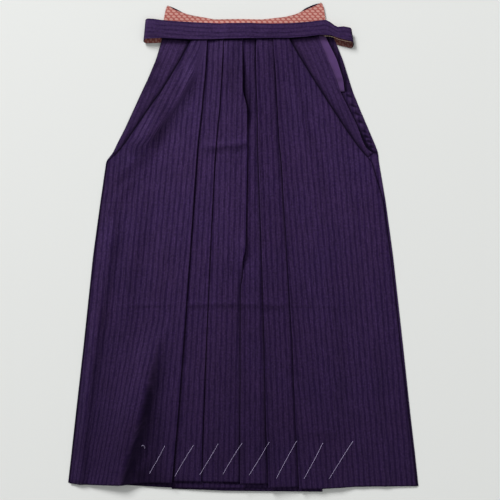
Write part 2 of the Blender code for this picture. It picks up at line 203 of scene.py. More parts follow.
def ridge(x, y, spec, seed):
    # A soft ridge, or a hollow where height is negative, along a path of a few points from top to bottom.
    # Its left and right flanks have widths of their own, seen looking up the garment.
    path = places(spec["path"])
    best = 0.0 * x + 1e9
    along, side = 0.0 * x, 0.0 * x
    lengths = np.linalg.norm(np.diff(path, axis=0), axis=1)
    passed = 0.0
    for start, end, length in zip(path, path[1:], lengths):
        dx, dy = (end - start) / length
        travel = np.clip((x - start[0]) * dx + (y - start[1]) * dy, 0, length)
        aside = (y - start[1]) * dx - (x - start[0]) * dy
        away = np.hypot(x - start[0] - travel * dx, y - start[1] - travel * dy)
        nearer = away < best
        best = np.where(nearer, away, best)
        along = np.where(nearer, (passed + travel) / lengths.sum(), along)
        side = np.where(nearer, aside, side)
        passed += length
    left, right = spec["flanks"]
    width = np.where(side < 0, left, right) * (1.0 + spec.get("spread", 0.0) * (along - 0.5))
    width = width * lineNoise(along, 0.25, 0.23, seed + 5)
    ends = smoothStep(along / spec.get("fadeIn", 0.3)) * smoothStep((1.0 - along) / spec.get("fadeOut", 0.3))
    lift = spec["height"] * lineNoise(along, 0.3, 0.17, seed + 9) * ends * np.exp(-(best / width) ** 2)
    # The flank turned from the light keeps a little shade of its own
    turned = smoothStep(side / (0.6 * right)) * np.exp(-(best / (1.45 * width)) ** 3)
    return lift, spec.get("shade", 0.0) * ends * turned


def creaseLift(x, y, creases):
    lift, shade = 0.0 * x, 0.0 * x
    for number, spec in enumerate(creases):
        bump, turned = ridge(x, y, spec, 17 * number + 3)
        lift += bump
        shade = np.maximum(shade, turned)
    # A hollow goes no deeper than the air above the next layer
    depth = cloth["hollowDepth"]
    return np.where(lift < 0, -depth * (1.0 - np.exp(np.minimum(lift, 0) / depth)), lift), shade


gather = {
    "slant": 0.35,
    # the painted shadow at each stitch
    "dimpleShadow": (0.0082, 0.0028),     # half width and half height
    "puff": 0.0028,
    "puffWidth": 0.0075,
    "puffRun": 0.36,                # half height, as a share of the way to the next dimple
    "shortest": 0.008,
}


def gatherForm(x, y, spots):
    # Small puckers drawn in by stitches: a painted shadow of a dimple at each spot, and a puff between one
    # and the next
    lift, shade = 0.0 * x, 0.0 * x
    wide, tall = gather["dimpleShadow"]
    ground = places(spots)
    for gx, gy in ground:
        slanted = (y - gy) + gather["slant"] * (x - gx)
        shade = np.maximum(shade, np.exp(-((x - gx) / wide) ** 2 - (slanted / tall) ** 2))
    for start, end in zip(ground, ground[1:]):
        middleX, middleY = (start + end) / 2
        run = gather["puffRun"] * max(math.dist(start, end), gather["shortest"])
        form = np.exp(-((x - middleX) / gather["puffWidth"]) ** 2 - ((y - middleY) / run) ** 2)
        lift += gather["puff"] * form
    return lift, shade


cloth = {
    "wall": 0.0010,
    "pitch": 0.0013,        # from one layer's middle to the next
    "bulge": 0.00115,       # how far a fold's round edge stands past the fold line in the solids
    "rowStep": 0.0035,
    "arcSteps": 6,
    "turnedWidth": 0.016,   # how much of the turned part is made, out of sight beneath
    "hollowDepth": 0.0006,
    "puffReach": 0.006,     # how far in from a folded edge its soft rise goes
    "shadeReach": 0.0022,   # how far out the shade beside an edge goes
    "hemReach": 0.0016,
    "rimReach": 0.0011,
    "sharpAngle": 50,
}
# Painted shade in broad soft spots, where the layers lie deeper: column and row in the photo, half width and
# half height in metres, and depth
paintedShadeSpots = [
    (150, 470, 0.034, 0.050, 0.36),
    (139, 477, 0.018, 0.022, 0.42),
    (176, 484, 0.050, 0.022, 0.30),
    (156, 425, 0.018, 0.060, 0.30),
    (232, 452, 0.110, 0.060, 0.16),
    (220, 395, 0.075, 0.050, 0.08),
    (320, 437, 0.050, 0.020, 0.12),
    (157, 64, 0.016, 0.012, 0.30),
    (152, 82, 0.016, 0.012, 0.22),
    (242, 272, 0.010, 0.012, 0.30),
    (342, 91, 0.010, 0.006, 0.40),
    (340, 80, 0.009, 0.004, 0.45),
    (165, 112, 0.020, 0.026, 0.20),
    (239, 60, 0.012, 0.035, 0.24),
    (247, 96, 0.010, 0.034, 0.26),
    (228, 76, 0.022, 0.060, 0.14),
    (104, 440, 0.055, 0.080, 0.20),
    (143, 98, 0.034, 0.080, 0.12),
    (346, 105, 0.030, 0.070, 0.10),
    (228, 105, 0.030, 0.110, 0.11),
    (122, 300, 0.050, 0.150, 0.05),
    (137, 150, 0.020, 0.020, 0.28),
    (122, 176, 0.020, 0.026, 0.26),
    (111, 204, 0.016, 0.034, 0.24),
]
middle = {"crossY": -0.045, "crossRun": 0.036}
edges, grids = {}, {}


def panelGrid(spec):
    # Rows down a panel: the places and heights of its upper face, and the line of its hem
    faces = facesOf(spec["node"])
    foldSide, columns = spec.get("fold", 0), spec["columns"]
    points = faces.reshape(-1, 3)
    top, foot = points[:, 1].max(), points[:, 1].min()
    lowest = points[points[:, 1] < foot + 0.022]
    order = np.argsort(lowest[:, 0])
    hemX, hemY = lowest[order, 0], lowest[order, 1] + spec.get("hemRise", 0.0)
    full = hemY.max() + 0.0004
    count = max(int((top - full) / spec.get("rowStep", cloth["rowStep"])), 8)
    rowY = np.linspace(top - 0.0002, full, count)
    cuts = [cutThrough(faces, 1, y) for y in rowY]
    lowX, highX = [cut[:, :, 0].min() for cut in cuts], [cut[:, :, 0].max() for cut in cuts]
    left, right = soften(lowX, 0, 3), soften(highX, 0, 3)
    right = right - max(foldSide, 0) * cloth["bulge"]
    left = left - min(foldSide, 0) * cloth["bulge"]
    even = np.linspace(0, 1, columns)
    share = 0.5 * even + 0.5 * (0.5 - 0.5 * np.cos(np.pi * even))
    x = left[:, None] + (right - left)[:, None] * share
    z = [topOf(cut, np.clip(row, low, high)) for cut, row, low, high in zip(cuts, x, lowX, highX)]
    z = soften(soften(z, 0, 10), 1, 2)
    y = rowY[:, None] + 0 * x
    down = smoothStep((full + 0.07 - y) / 0.07)
    y = y + down * (np.interp(x, hemX, hemY) - full)
    edges[spec["node"]] = {"y": rowY[::-1], "left": left[::-1], "right": right[::-1], "hem": (hemX, hemY)}
    return x, y, z - cloth["wall"] / 2


# Front tie: a flat ribbon over the pleats, round a loop at each side and back beneath.
# Its edges are read here too, because it shades the cloth under it.
tie = {
    "name": "frontTie",
    "node": "front_tie",
    "material": "tie",
    "wall": 0.0015,
    "upper": [(147, 20), (153, 20.3), (160, 21.3), (170, 22.2), (190, 23.5), (200, 24.2), (220, 25.2),
              (250, 25), (270, 25.5), (290, 24.8), (310, 23), (320, 21.8), (325, 21.3), (330, 23.5),
              (335, 27), (338, 28.3), (345, 27.8), (349, 28.8)],
    "lower": [(144, 40.2), (163, 39.3), (190, 40.5), (207, 40.8), (240, 40.2), (260, 39.8), (290, 39.2),
              (305, 38), (320, 36), (330, 36.5), (338, 39.5), (350, 42.5)],
    "shadeStart": 0.0012,           # below its lower edge
    "shadeReach": 0.0014,
    "rows": 9,
    "steps": 170,
    "turnSteps": 17,
    "endSteps": 22,
    "topInset": 0.013,
    "insets": (0.0105, 0.0095),     # middle of the left loop and of the right one, from the ends
    "loopStretch": 1.15,
    "drops": (0.007, 0.012),        # how much lower the turned part lies, left and right
    "ends": (-0.046, 0.066),        # where the turned part ends under the cloth
    "crown": 0.0004,
    "slant": 0.004,
    "depths": (0.46, 0.95),         # shade on the turned part, left and right
    "cut": (0.040, 0.660, 0.0248),
    "rests": ["frontSideLeft", "frontSideRight", "frontPleat2", "backBand"],
    "held": "folded",
    "sewn": ["tieEdging"],
}


def tieShade(x, y):
    # Painted shadow: the dark line where the tie stands over the cloth
    away = np.interp(x, *places(tie["lower"]).T) - y
    shade = np.exp(-np.maximum(away - tie["shadeStart"], 0) / tie["shadeReach"])
    return np.where(away > -0.01, shade, 0.0)


def overlapOrder(y, side):
    # How far the middle fold of one side lies on top: the left one is 1, and the right one -1
    order = smoothStep((y - middle["crossY"]) / middle["crossRun"] + 0.5)
    return order if side > 0 else 1.0 - order


def shadeOf(x, y, covers):
    # How much painted shade the cloth gets beside the edges that lie on it, and under the tie, from 0 to 1
    shade = tieShade(x, y)
    for above in covers:
        edge = edges[above["node"]]
        if above["side"] == "hem":
            hemX, hemY = edge["hem"]
            away = np.abs(np.interp(x, hemX, hemY) - y)
            beside = (x > hemX[0]) & (x < hemX[-1])
            shade = np.maximum(shade, np.where(beside, np.exp(-(away / cloth["hemReach"]) ** 2), 0.0))
            continue
        away = np.interp(y, edge["y"], edge[above["side"]])
        away = (x - away) if above["side"] == "right" else (away - x)
        below = y > edge["y"][0] - 0.002
        strength = above.get("strength", 1.0)
        if "starts" in above:
            strength = strength * (0.25 + 0.75 * smoothStep((place(0, above["starts"])[1] - y) / 0.02))
        if "order" in above:
            strength = strength * overlapOrder(y, above["order"])
        reach = above.get("reach", cloth["shadeReach"]) * lineNoise(y, 0.35, 0.09, len(above["node"]))
        for spot in above.get("deeper", ()):
            reach = reach + spot["reach"] * np.exp(-((y - spot["y"]) / spot["run"]) ** 2)
        near = np.exp(-np.maximum(away - cloth["bulge"], 0) / reach)
        shade = np.maximum(shade, np.where(below & (away > -0.012), near * strength, 0.0))
    return shade


def rimShade(x, y, spec):
    # Painted shade: the thin dark line at a panel's own hem, and at its slanted edge
    edge = edges[spec["node"]]
    away = y - np.interp(x, *edge["hem"])
    shade = 0.75 * np.exp(-np.maximum(away, 0) / cloth["rimReach"])
    if "rim" in spec:
        away = np.abs(np.interp(y, edge["y"], edge[spec["rim"]]) - x)
        slanted = np.maximum(smoothStep((y - edge["y"][0] - 0.60) / 0.04), spec["rimBelow"])
        shade = np.maximum(shade, slanted * np.exp(-away / (1.4 * cloth["rimReach"])))
    return shade


def paintedSpotShade(x, y):
    # Painted shade, broad and soft, in places where the layers lie deeper
    shade = 0.0 * x
    for px, py, halfWidth, halfHeight, depth in paintedShadeSpots:
        dx, dy = place(px, py)
        form = np.exp(-((x - dx) / halfWidth) ** 2 - ((y - dy) / halfHeight) ** 2)
        shade = shade + depth * form
    return np.clip(shade * (1.0 + 0.4 * softNoise(x, y, 0.03, 0.05, 77)), 0.0, 0.8)


def makePanel(spec):
    # One stretch of pleated cloth, with its folded edge turned under
    foldSide = spec.get("fold", 0)
    x, y, z = grids[spec["node"]]
    # Painted shade beside the edges that lie on it, at its own rims, and in broad soft spots
    shade = np.maximum(shadeOf(x, y, spec.get("covers", ())), rimShade(x, y, spec))
    shade = 1.0 - (1.0 - shade) * (1.0 - paintedSpotShade(x, y))
    if foldSide < 0:
        x, y, z, shade = x[:, ::-1], y[:, ::-1], z[:, ::-1], shade[:, ::-1]
    turns = np.zeros(x.shape)
    if foldSide:
        puff = spec.get("puff", 0.0) * np.exp(-np.abs(x - x[:, -1:]) / cloth["puffReach"])
        puff = puff * lineNoise(y, 0.4, 0.11, spec.get("seed", 1) + 40)
        puff = puff * smoothStep((place(0, 43)[1] - y) / 0.035)
        if "order" in spec:
            puff = puff * overlapOrder(y, spec["order"])
        z = z + puff
        edgeX, edgeY, edgeZ = x[:, -1:], y[:, -1:], z[:, -1:]
        radius = cloth["pitch"] / 2
        angles = np.pi * np.arange(1, cloth["arcSteps"]) / cloth["arcSteps"]
        arcX = edgeX + foldSide * radius * np.sin(angles)
        arcZ = edgeZ - radius + radius * np.cos(angles)
        backX = edgeX - foldSide * cloth["turnedWidth"] * np.array([0.0, 0.33, 0.67, 1.0])
        under = np.take_along_axis(z, np.argmin(np.abs(x[:, :, None] - backX[:, None, :]), axis=1), axis=1)
        backZ = np.minimum(under, edgeZ) - cloth["pitch"]
        added = arcX.shape[1] + backX.shape[1]
        ones = np.ones((len(x), added))
        x = np.concatenate((x, arcX, backX), axis=1)
        y = np.concatenate((y, edgeY * ones), axis=1)
        z = np.concatenate((z, arcZ, backZ), axis=1)
        turned = np.concatenate((angles, [np.pi] * backX.shape[1]))
        turns = np.concatenate((turns, turned * ones), axis=1)
        # the round of the fold and the turned part beneath get painted shade, deeper toward the back
        shade = np.concatenate((shade, np.linspace(0.2, 1.0, added) * ones), axis=1)
    normal = np.stack((foldSide * np.sin(turns), 0 * turns, np.cos(turns)), axis=-1)
    lift, turned = creaseLift(x, y, spec.get("creases", ()))
    z = z + lift
    shade = np.maximum(shade, turned)
    if "gathers" in spec:
        # The puffs lift the cloth; the dimples are painted shadow only
        lift, dimpleShadows = gatherForm(x, y, spec["gathers"])
        z = z + lift
        shade = np.maximum(shade, dimpleShadows)
    z = z + spec.get("ripple", 0.0) * (0.5 + 0.5 * softNoise(x, y, 0.045, 0.16, spec.get("seed", 1)))
    across = x + spec["grain"] * y
    if "lean" in spec:
        lean = spec["lean"]
        line = places(lean["line"])[::-1]
        beside = x - np.interp(y, line[:, 1], line[:, 0])
        weight = smoothStep(1.0 - np.abs(beside) / np.where(beside < 0, lean["left"], lean["right"]))
        across = across + lean["amount"] * np.maximum(line[-1, 1] - y, 0) * weight
    if "bias" in spec:
        bias = spec["bias"]
        line = places(bias["line"])[::-1]
        beside = np.interp(y, line[:, 1], line[:, 0]) - x
        weight = smoothStep(beside / bias["blend"] + 0.5) * smoothStep((y - line[0, 1]) / bias["footRun"])
        # Turned about the foot of the line, so that the stripes meet there
        footX, footY = line[0]
        turned = footX + spec["grain"] * footY
        turned = turned + math.cos(bias["angle"]) * (x - footX) - math.sin(bias["angle"]) * (y - footY)
        across = across + weight * (turned - across)
    centre = np.stack((x, y, z), axis=-1)
    return wallMesh(spec["name"], centre, normal, cloth["wall"], np.stack((across, y), axis=-1), shade)


# Materials

def addNode(tree, kind, **values):
    node = tree.nodes.new(kind)
    for key, value in values.items():
        setattr(node, key, value)
    return node


def fill(tree, sockets, values):
    # Each socket gets a number, a colour or a link
    for key, value in values.items():
        if isinstance(value, (int, float)):
            sockets[key].default_value = value
        elif isinstance(value, tuple):
            sockets[key].default_value = (*value, 1.0)
        else:
            tree.links.new(value, sockets[key])


def mathNode(tree, operation, *values, clamp=False):
    node = addNode(tree, "ShaderNodeMath", operation=operation, use_clamp=clamp)
    fill(tree, node.inputs, dict(enumerate(values)))
    return node.outputs[0]


def mixColour(tree, factor, first, second, mode="MIX"):
    node = addNode(tree, "ShaderNodeMix", data_type="RGBA", blend_type=mode)
    fill(tree, node.inputs, {0: factor, 6: first, 7: second})
    return node.outputs[2]


def joined(tree, x, y, z=0.0):
    node = addNode(tree, "ShaderNodeCombineXYZ")
    fill(tree, node.inputs, {0: x, 1: y, 2: z})
    return node.outputs[0]


def timesGrey(tree, colour, grey):
    return mixColour(tree, 1.0, colour, joined(tree, grey, grey, grey), "MULTIPLY")


def noiseOf(tree, vector, scale, detail=2.0, roughness=0.5):
    node = addNode(tree, "ShaderNodeTexNoise")
    fill(tree, node.inputs, {"Vector": vector, "Scale": scale, "Detail": detail, "Roughness": roughness})
    return node.outputs["Fac"]


def stretchedNoise(tree, across, along, acrossScale, alongScale, detail):
    wide = mathNode(tree, "MULTIPLY", across, acrossScale)
    deep = mathNode(tree, "MULTIPLY", along, alongScale)
    return noiseOf(tree, joined(tree, wide, deep), 1.0, detail, 0.6)


def softStep(tree, value, *limits):
    # limits are where the step starts and ends, then its height before and after
    node = addNode(tree, "ShaderNodeMapRange", interpolation_type="SMOOTHSTEP")
    labels = ("Value", "From Min", "From Max", "To Min", "To Max")
    fill(tree, node.inputs, dict(zip(labels, (value, *limits))))
    return node.outputs["Result"]


def bandNear(tree, phase, middle, width, softness):
    # 1 on a band round one place in a repeat, 0 off it
    away = mathNode(tree, "ABSOLUTE", mathNode(tree, "SUBTRACT", phase, middle))
    return softStep(tree, away, width - softness, width + softness, 1.0, 0.0)


def newGroup(name, outputs, **inputs):
    group = bpy.data.node_groups.new(name, "ShaderNodeTree")
    for label, value in inputs.items():
        socket = group.interface.new_socket(name=label, in_out="INPUT", socket_type="NodeSocketFloat")
        socket.default_value = value
    for label in outputs:
        group.interface.new_socket(name=label, in_out="OUTPUT", socket_type="NodeSocketFloat")
    return group, group.nodes.new("NodeGroupInput").outputs, group.nodes.new("NodeGroupOutput").inputs


stripes = {
    "broad": (0.28, 0.21, 0.13),        # place in the repeat, half width and softness
    "hair": (0.76, 0.07, 0.06),
    "hairDepth": 0.4,
    "wobbleNoise": (75.0, 24.0, 2.0),   # scale across, scale along and detail
    "wobble": 0.0060,
    "brokenNoise": (150.0, 45.0, 2.0),
    "broken": (2.2, -0.15),             # how strong, and what is added
    "streakNoise": (520.0, 30.0, 3.0),
}


def makeStripeGroup():
    # Self-coloured stripes: a broad dark line and a hair line in each repeat, and streaks along the threads
    group, entry, result = newGroup("selfStripe", ("Stripe", "Streak"), Across=0.0, Along=0.0, Repeat=0.011)
    across, along = entry["Across"], entry["Along"]
    wobble = mathNode(group, "SUBTRACT", stretchedNoise(group, across, along, *stripes["wobbleNoise"]), 0.5)
    shifted = mathNode(group, "MULTIPLY_ADD", wobble, stripes["wobble"], across)
    phase = mathNode(group, "FRACT", mathNode(group, "DIVIDE", shifted, entry["Repeat"]))
    hair = mathNode(group, "MULTIPLY", bandNear(group, phase, *stripes["hair"]), stripes["hairDepth"])
    stripe = mathNode(group, "MAXIMUM", bandNear(group, phase, *stripes["broad"]), hair)
    broken = stretchedNoise(group, across, along, *stripes["brokenNoise"])
    broken = mathNode(group, "MULTIPLY_ADD", broken, *stripes["broken"])
    stripe = mathNode(group, "MULTIPLY", stripe, broken, clamp=True)
    streaks = stretchedNoise(group, across, along, *stripes["streakNoise"])
    fill(group, result, {"Stripe": stripe, "Streak": streaks})
    return group


def makeWeaveGroup():
    # Fine crossing threads, as a height from 0 to 1
    group, entry, result = newGroup("fineWeave", ("Height",), Across=0.0, Along=0.0, Thread=0.0006)
    turns = mathNode(group, "DIVIDE", math.pi, entry["Thread"])
    warp = mathNode(group, "SINE", mathNode(group, "MULTIPLY", entry["Across"], turns))
    weft = mathNode(group, "SINE", mathNode(group, "MULTIPLY", entry["Along"], turns))
    crossing = mathNode(group, "MULTIPLY", warp, weft)
    fill(group, result, {"Height": mathNode(group, "MULTIPLY_ADD", crossing, 0.5, 0.5)})
    return group


ovals = {
    "lean": 0.35,
    "halfWidth": 0.36,      # in repeats
    "halfHeight": 0.22,
    "edge": (0.75, 1.15, 1.0, 0.0),     # where an oval's tint starts to fade and ends, then its strength
}


def makeOvalGroup():
    # Small leaning ovals, one in the middle of each repeat and one at its corners
    group, entry, result = newGroup("ovalLattice", ("Motif",), Across=0.0, Along=0.0, Repeat=0.013)
    radii = []
    for shift in (0.0, 0.5):
        parts = []
        for label in ("Across", "Along"):
            repeats = mathNode(group, "DIVIDE", entry[label], entry["Repeat"])
            phase = mathNode(group, "FRACT", mathNode(group, "ADD", repeats, shift))
            parts.append(mathNode(group, "SUBTRACT", phase, 0.5))
        leaning = mathNode(group, "MULTIPLY_ADD", parts[1], ovals["lean"], parts[0])
        wide = mathNode(group, "DIVIDE", leaning, ovals["halfWidth"])
        tall = mathNode(group, "DIVIDE", parts[1], ovals["halfHeight"])
        square = mathNode(group, "MULTIPLY_ADD", wide, wide, mathNode(group, "MULTIPLY", tall, tall))
        radii.append(mathNode(group, "SQRT", square))
    nearest = mathNode(group, "MINIMUM", *radii)
    fill(group, result, {"Motif": softStep(group, nearest, *ovals["edge"])})
    return group


groups = {"stripe": makeStripeGroup(), "weave": makeWeaveGroup(), "ovals": makeOvalGroup()}


def readMap(tree, name):
    mapNode = addNode(tree, "ShaderNodeUVMap", uv_map=name)
    split = addNode(tree, "ShaderNodeSeparateXYZ")
    fill(tree, split.inputs, {0: mapNode.outputs["UV"]})
    return split.outputs[0], split.outputs[1]


def startMaterial(name):
    material = bpy.data.materials.new(name)
    material.use_nodes = True
    tree = material.node_tree
    return material, tree, tree.nodes["Principled BSDF"], *readMap(tree, "clothMap")


def placeGroup(tree, name, across, along, **values):
    node = addNode(tree, "ShaderNodeGroup", node_tree=groups[name])
    fill(tree, node.inputs, {"Across": across, "Along": along, **values})
    return node.outputs


def finishLook(tree, shader, look, colour, relief, shade, **more):
    # Colour with the painted shade from the shade map mixed in, the look's own gloss and nap, and relief
    # from its patterns
    height = 0.0
    for pattern, strength in zip(relief, look["relief"]):
        height = mathNode(tree, "MULTIPLY_ADD", pattern, strength, height)
    bump = addNode(tree, "ShaderNodeBump")
    fill(tree, bump.inputs, {"Strength": look["bump"][0], "Distance": look["bump"][1], "Height": height})
    colour = mixColour(tree, shade, colour, look["inShade"])
    fill(tree, shader.inputs, {"Base Color": colour, "Normal": bump.outputs["Normal"]})
    fill(tree, shader.inputs, {**look["sockets"], **more})


def shadeMask(tree, depth):
    # The painted shade kept with each piece, where another layer's edge lies on it and in the other shaded
    # places
    return mathNode(tree, "MULTIPLY", readMap(tree, "shadeMap")[0], depth, clamp=True)


purple = {
    "light": (0.0303, 0.0152, 0.0525),
    "dark": (0.0157, 0.0066, 0.0330),
    "repeat": 0.0108,
    "tieRepeat": 0.0083,
    "thread": 0.0006,
    "streaks": (1.5, 0.25),             # how strong, and what is added
    "mottleScale": 230.0,
    "mottle": (2.0, 0.0),
    "wornNoise": (34.0, 9.0, 3.0),      # scale across, scale along and detail
    "worn": (0.55, 0.73),
    # painted light: the cloth is brighter toward the waist and darker toward the hem, as its sheen falls off
    "paintedLightFade": (-0.47, 0.22, 0.68, 1.08),   # places along the garment, then how bright it is there
    "patchScale": 9.0,
    "patches": ((1.1, 1.0, 0.95), (0.72, 0.85, 1.12)),
    "inShade": (0.0004, 0.0003, 0.0010),
    "shadeDepth": 1.0,
    "roughness": (0.60, 0.10, 0.5),     # plain, and what a stripe and the shade add
    "sockets": {"Specular IOR Level": 0.30, "Specular Tint": (0.55, 0.34, 1.0), "Sheen Weight": 0.03,
                "Sheen Roughness": 0.45, "Sheen Tint": (0.55, 0.45, 0.85)},
    "relief": (0.5, 0.7, -0.35),        # weave, streaks and stripes
    "bump": (0.6, 0.00035),             # strength and distance
}


def makePurple(name, repeat, contrast):
    material, tree, shader, across, along = startMaterial(name)
    stripe = placeGroup(tree, "stripe", across, along, Repeat=repeat)
    weave = placeGroup(tree, "weave", across, along, Thread=purple["thread"])
    flat = joined(tree, across, along)
    light = purple["light"]
    dark = tuple(low + (1.0 - contrast) * (high - low) for low, high in zip(purple["dark"], light))
    colour = mixColour(tree, stripe["Stripe"], light, dark)
    mottle = noiseOf(tree, flat, purple["mottleScale"], 2.0, 0.7)
    worn = stretchedNoise(tree, across, along, *purple["wornNoise"])
    for pattern, strength in ((stripe["Streak"], "streaks"), (mottle, "mottle"), (worn, "worn")):
        colour = timesGrey(tree, colour, mathNode(tree, "MULTIPLY_ADD", pattern, *purple[strength]))
    # Painted light falloff: brighter toward the waist, darker toward the hem
    colour = timesGrey(tree, colour, softStep(tree, along, *purple["paintedLightFade"]))
    patches = mathNode(tree, "MULTIPLY", noiseOf(tree, flat, purple["patchScale"], 3.0), 0.5)
    colour = mixColour(tree, 1.0, colour, mixColour(tree, patches, *purple["patches"]), "MULTIPLY")
    shade = shadeMask(tree, purple["shadeDepth"])
    base, inStripe, inShade = purple["roughness"]
    rough = mathNode(tree, "MULTIPLY_ADD", stripe["Stripe"], inStripe, base)
    rough = mathNode(tree, "MULTIPLY_ADD", shade, inShade, rough, clamp=True)
    relief = (weave["Height"], stripe["Streak"], stripe["Stripe"])
    finishLook(tree, shader, purple, colour, relief, shade, Roughness=rough)
    return material


lining = {
    "ground": (0.330, 0.082, 0.068),
    "motif": (0.600, 0.295, 0.255),
    "repeat": 0.0109,
    "thread": 0.0008,
    "patchScale": 120.0,
    "inShade": (0.020, 0.004, 0.004),
    "shadeDepth": 0.75,
    "sockets": {"Roughness": 0.7, "Specular IOR Level": 0.2, "Sheen Weight": 0.2},
    "relief": (0.5, 0.8),               # weave and motif
    "bump": (0.5, 0.0004),
}


def makeLining(name):
    material, tree, shader, across, along = startMaterial(name)
    motif = placeGroup(tree, "ovals", across, along, Repeat=lining["repeat"])["Motif"]
    weave = placeGroup(tree, "weave", across, along, Thread=lining["thread"])["Height"]
    patches = noiseOf(tree, joined(tree, across, along), lining["patchScale"], 3.0)
    ground = mixColour(tree, patches, lining["ground"], tuple(1.35 * c for c in lining["ground"]))
    colour = mixColour(tree, motif, ground, lining["motif"])
    finishLook(tree, shader, lining, colour, (weave, motif), shadeMask(tree, lining["shadeDepth"]))
    return material


plain = {
    "thread": 0.0007,
    "patchScale": 60.0,
    "tones": (0.8, 1.2, 0.05),          # low, high and in the shade
    "shadeDepth": 0.8,
    "sockets": {"Specular IOR Level": 0.2},
    "relief": (1.0,),
    "bump": (0.4, 0.0003),
}


def makePlain(name, colour, roughness):
    material, tree, shader, across, along = startMaterial(name)
    weave = placeGroup(tree, "weave", across, along, Thread=plain["thread"])["Height"]
    patches = noiseOf(tree, joined(tree, across, along), plain["patchScale"], 3.0)
    low, high, deep = (tuple(tone * c for c in colour) for tone in plain["tones"])
    colour = mixColour(tree, patches, low, high)
    shade = shadeMask(tree, plain["shadeDepth"])
    finishLook(tree, shader, {**plain, "inShade": deep}, colour, (weave,), shade, Roughness=roughness)
    return material


materials = {
    "purple": makePurple("purpleStripedCloth", purple["repeat"], 1.2),
    "leaf": makePurple("purpleLeafCloth", purple["repeat"], 0.75),
    "tie": makePurple("purpleTieCloth", purple["tieRepeat"], 1.0),
    "lining": makeLining("patternedLining"),
    "facing": makePlain("lilacFacing", (0.090, 0.040, 0.150), 0.55),
    "thread": makePlain("bastingThread", (0.52, 0.44, 0.68), 0.6),
    "edging": makePlain("paleEdging", (0.40, 0.30, 0.22), 0.6),
}
print("materials ready")


def finishPiece(thing, spec):
    thing.data.materials.append(materials[spec.get("material", "purple")])
    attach(thing, "root")
    if "node" in spec:
        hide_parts(spec["node"])
    spec.get("slot", "purple_cloth")


# A crease's path is in pixels of the photo, and its flanks and height are in metres
def crease(path, flanks, height, **more):
    return {"path": path, "flanks": flanks, "height": height, **more}


leftCreases = [
    # the long soft fold down to the hem, steep on its right
    crease([(164, 318), (153, 350), (146, 382), (139, 413), (130, 442), (121, 472), (116, 492)],
           (0.046, 0.025), 0.0104, spread=0.9, fadeIn=0.47, fadeOut=0.01, shade=0.82),
    # the long low ridge beside the outline
    crease([(118, 186), (112, 236), (106, 276), (99, 318), (93, 360), (87, 405), (83, 450), (80, 492)],
           (0.015, 0.014), 0.0056, fadeIn=0.2, fadeOut=0.05, shade=0.2),
    # the roll beside the slanted edge, and the small folds that fan out under it
    crease([(197, 62), (186, 84), (172, 107), (156, 129), (143, 146), (133, 160)], (0.024, 0.017), 0.0037,
           spread=0.3, fadeIn=0.25, shade=0.46),
    crease([(152, 150), (132, 164), (112, 186)], (0.011, 0.012), 0.0026),
    crease([(138, 174), (122, 192), (104, 222)], (0.012, 0.012), 0.0024),
    crease([(150, 180), (138, 230), (128, 290)], (0.022, 0.018), 0.0022),
    crease([(168, 230), (160, 270), (154, 310)], (0.015, 0.012), 0.0014),
    crease([(184, 304), (150, 304.5), (118, 306)], (0.004, 0.004), 0.0006, shade=0.15),
]
rightCreases = [
    crease([(292, 70), (302, 120), (314, 170), (326, 215)], (0.016, 0.012), 0.0012),
    crease([(332, 140), (346, 190), (358, 250)], (0.013, 0.013), 0.0018),
    crease([(318, 220), (330, 300), (339, 370)], (0.018, 0.020), 0.0014),
    crease([(364, 300), (374, 370), (386, 492)], (0.014, 0.014), 0.0022, fadeOut=0.06),
    crease([(308, 400), (314, 440), (320, 492)], (0.014, 0.014), 0.0018, fadeOut=0.06),
    crease([(346, 402), (354, 440), (361, 492)], (0.012, 0.012), 0.0014, fadeOut=0.06),
    crease([(352, 308), (318, 305), (290, 304)], (0.004, 0.004), 0.0006, shade=0.1),
    crease([(342, 433), (320, 431), (300, 432)], (0.007, 0.007), 0.0009, shade=0.2),
]
# creases across the pleats, where the garment was folded away
storageCreases = [
    crease([(249, 142), (238, 145), (216, 146.5), (196, 147)], (0.007, 0.009), 0.0013,
           fadeIn=0.1, fadeOut=0.4, shade=0.42),
    crease([(292, 304), (244, 303), (214, 303), (184, 304)], (0.006, 0.008), 0.0009,
           fadeIn=0.1, fadeOut=0.05, shade=0.30),
]
middleCreases = storageCreases + [
    crease([(240, 50), (244, 78), (248, 100), (249, 116), (247, 136)], (0.012, 0.008), 0.0042),
    crease([(246, 226), (243, 258), (241, 276), (241, 292)], (0.010, 0.008), 0.0034),
    crease([(224, 70), (226, 110), (226, 140)], (0.008, 0.008), 0.0010),
]


def cover(node, side, **more):
    return {"node": node, "side": side, **more}


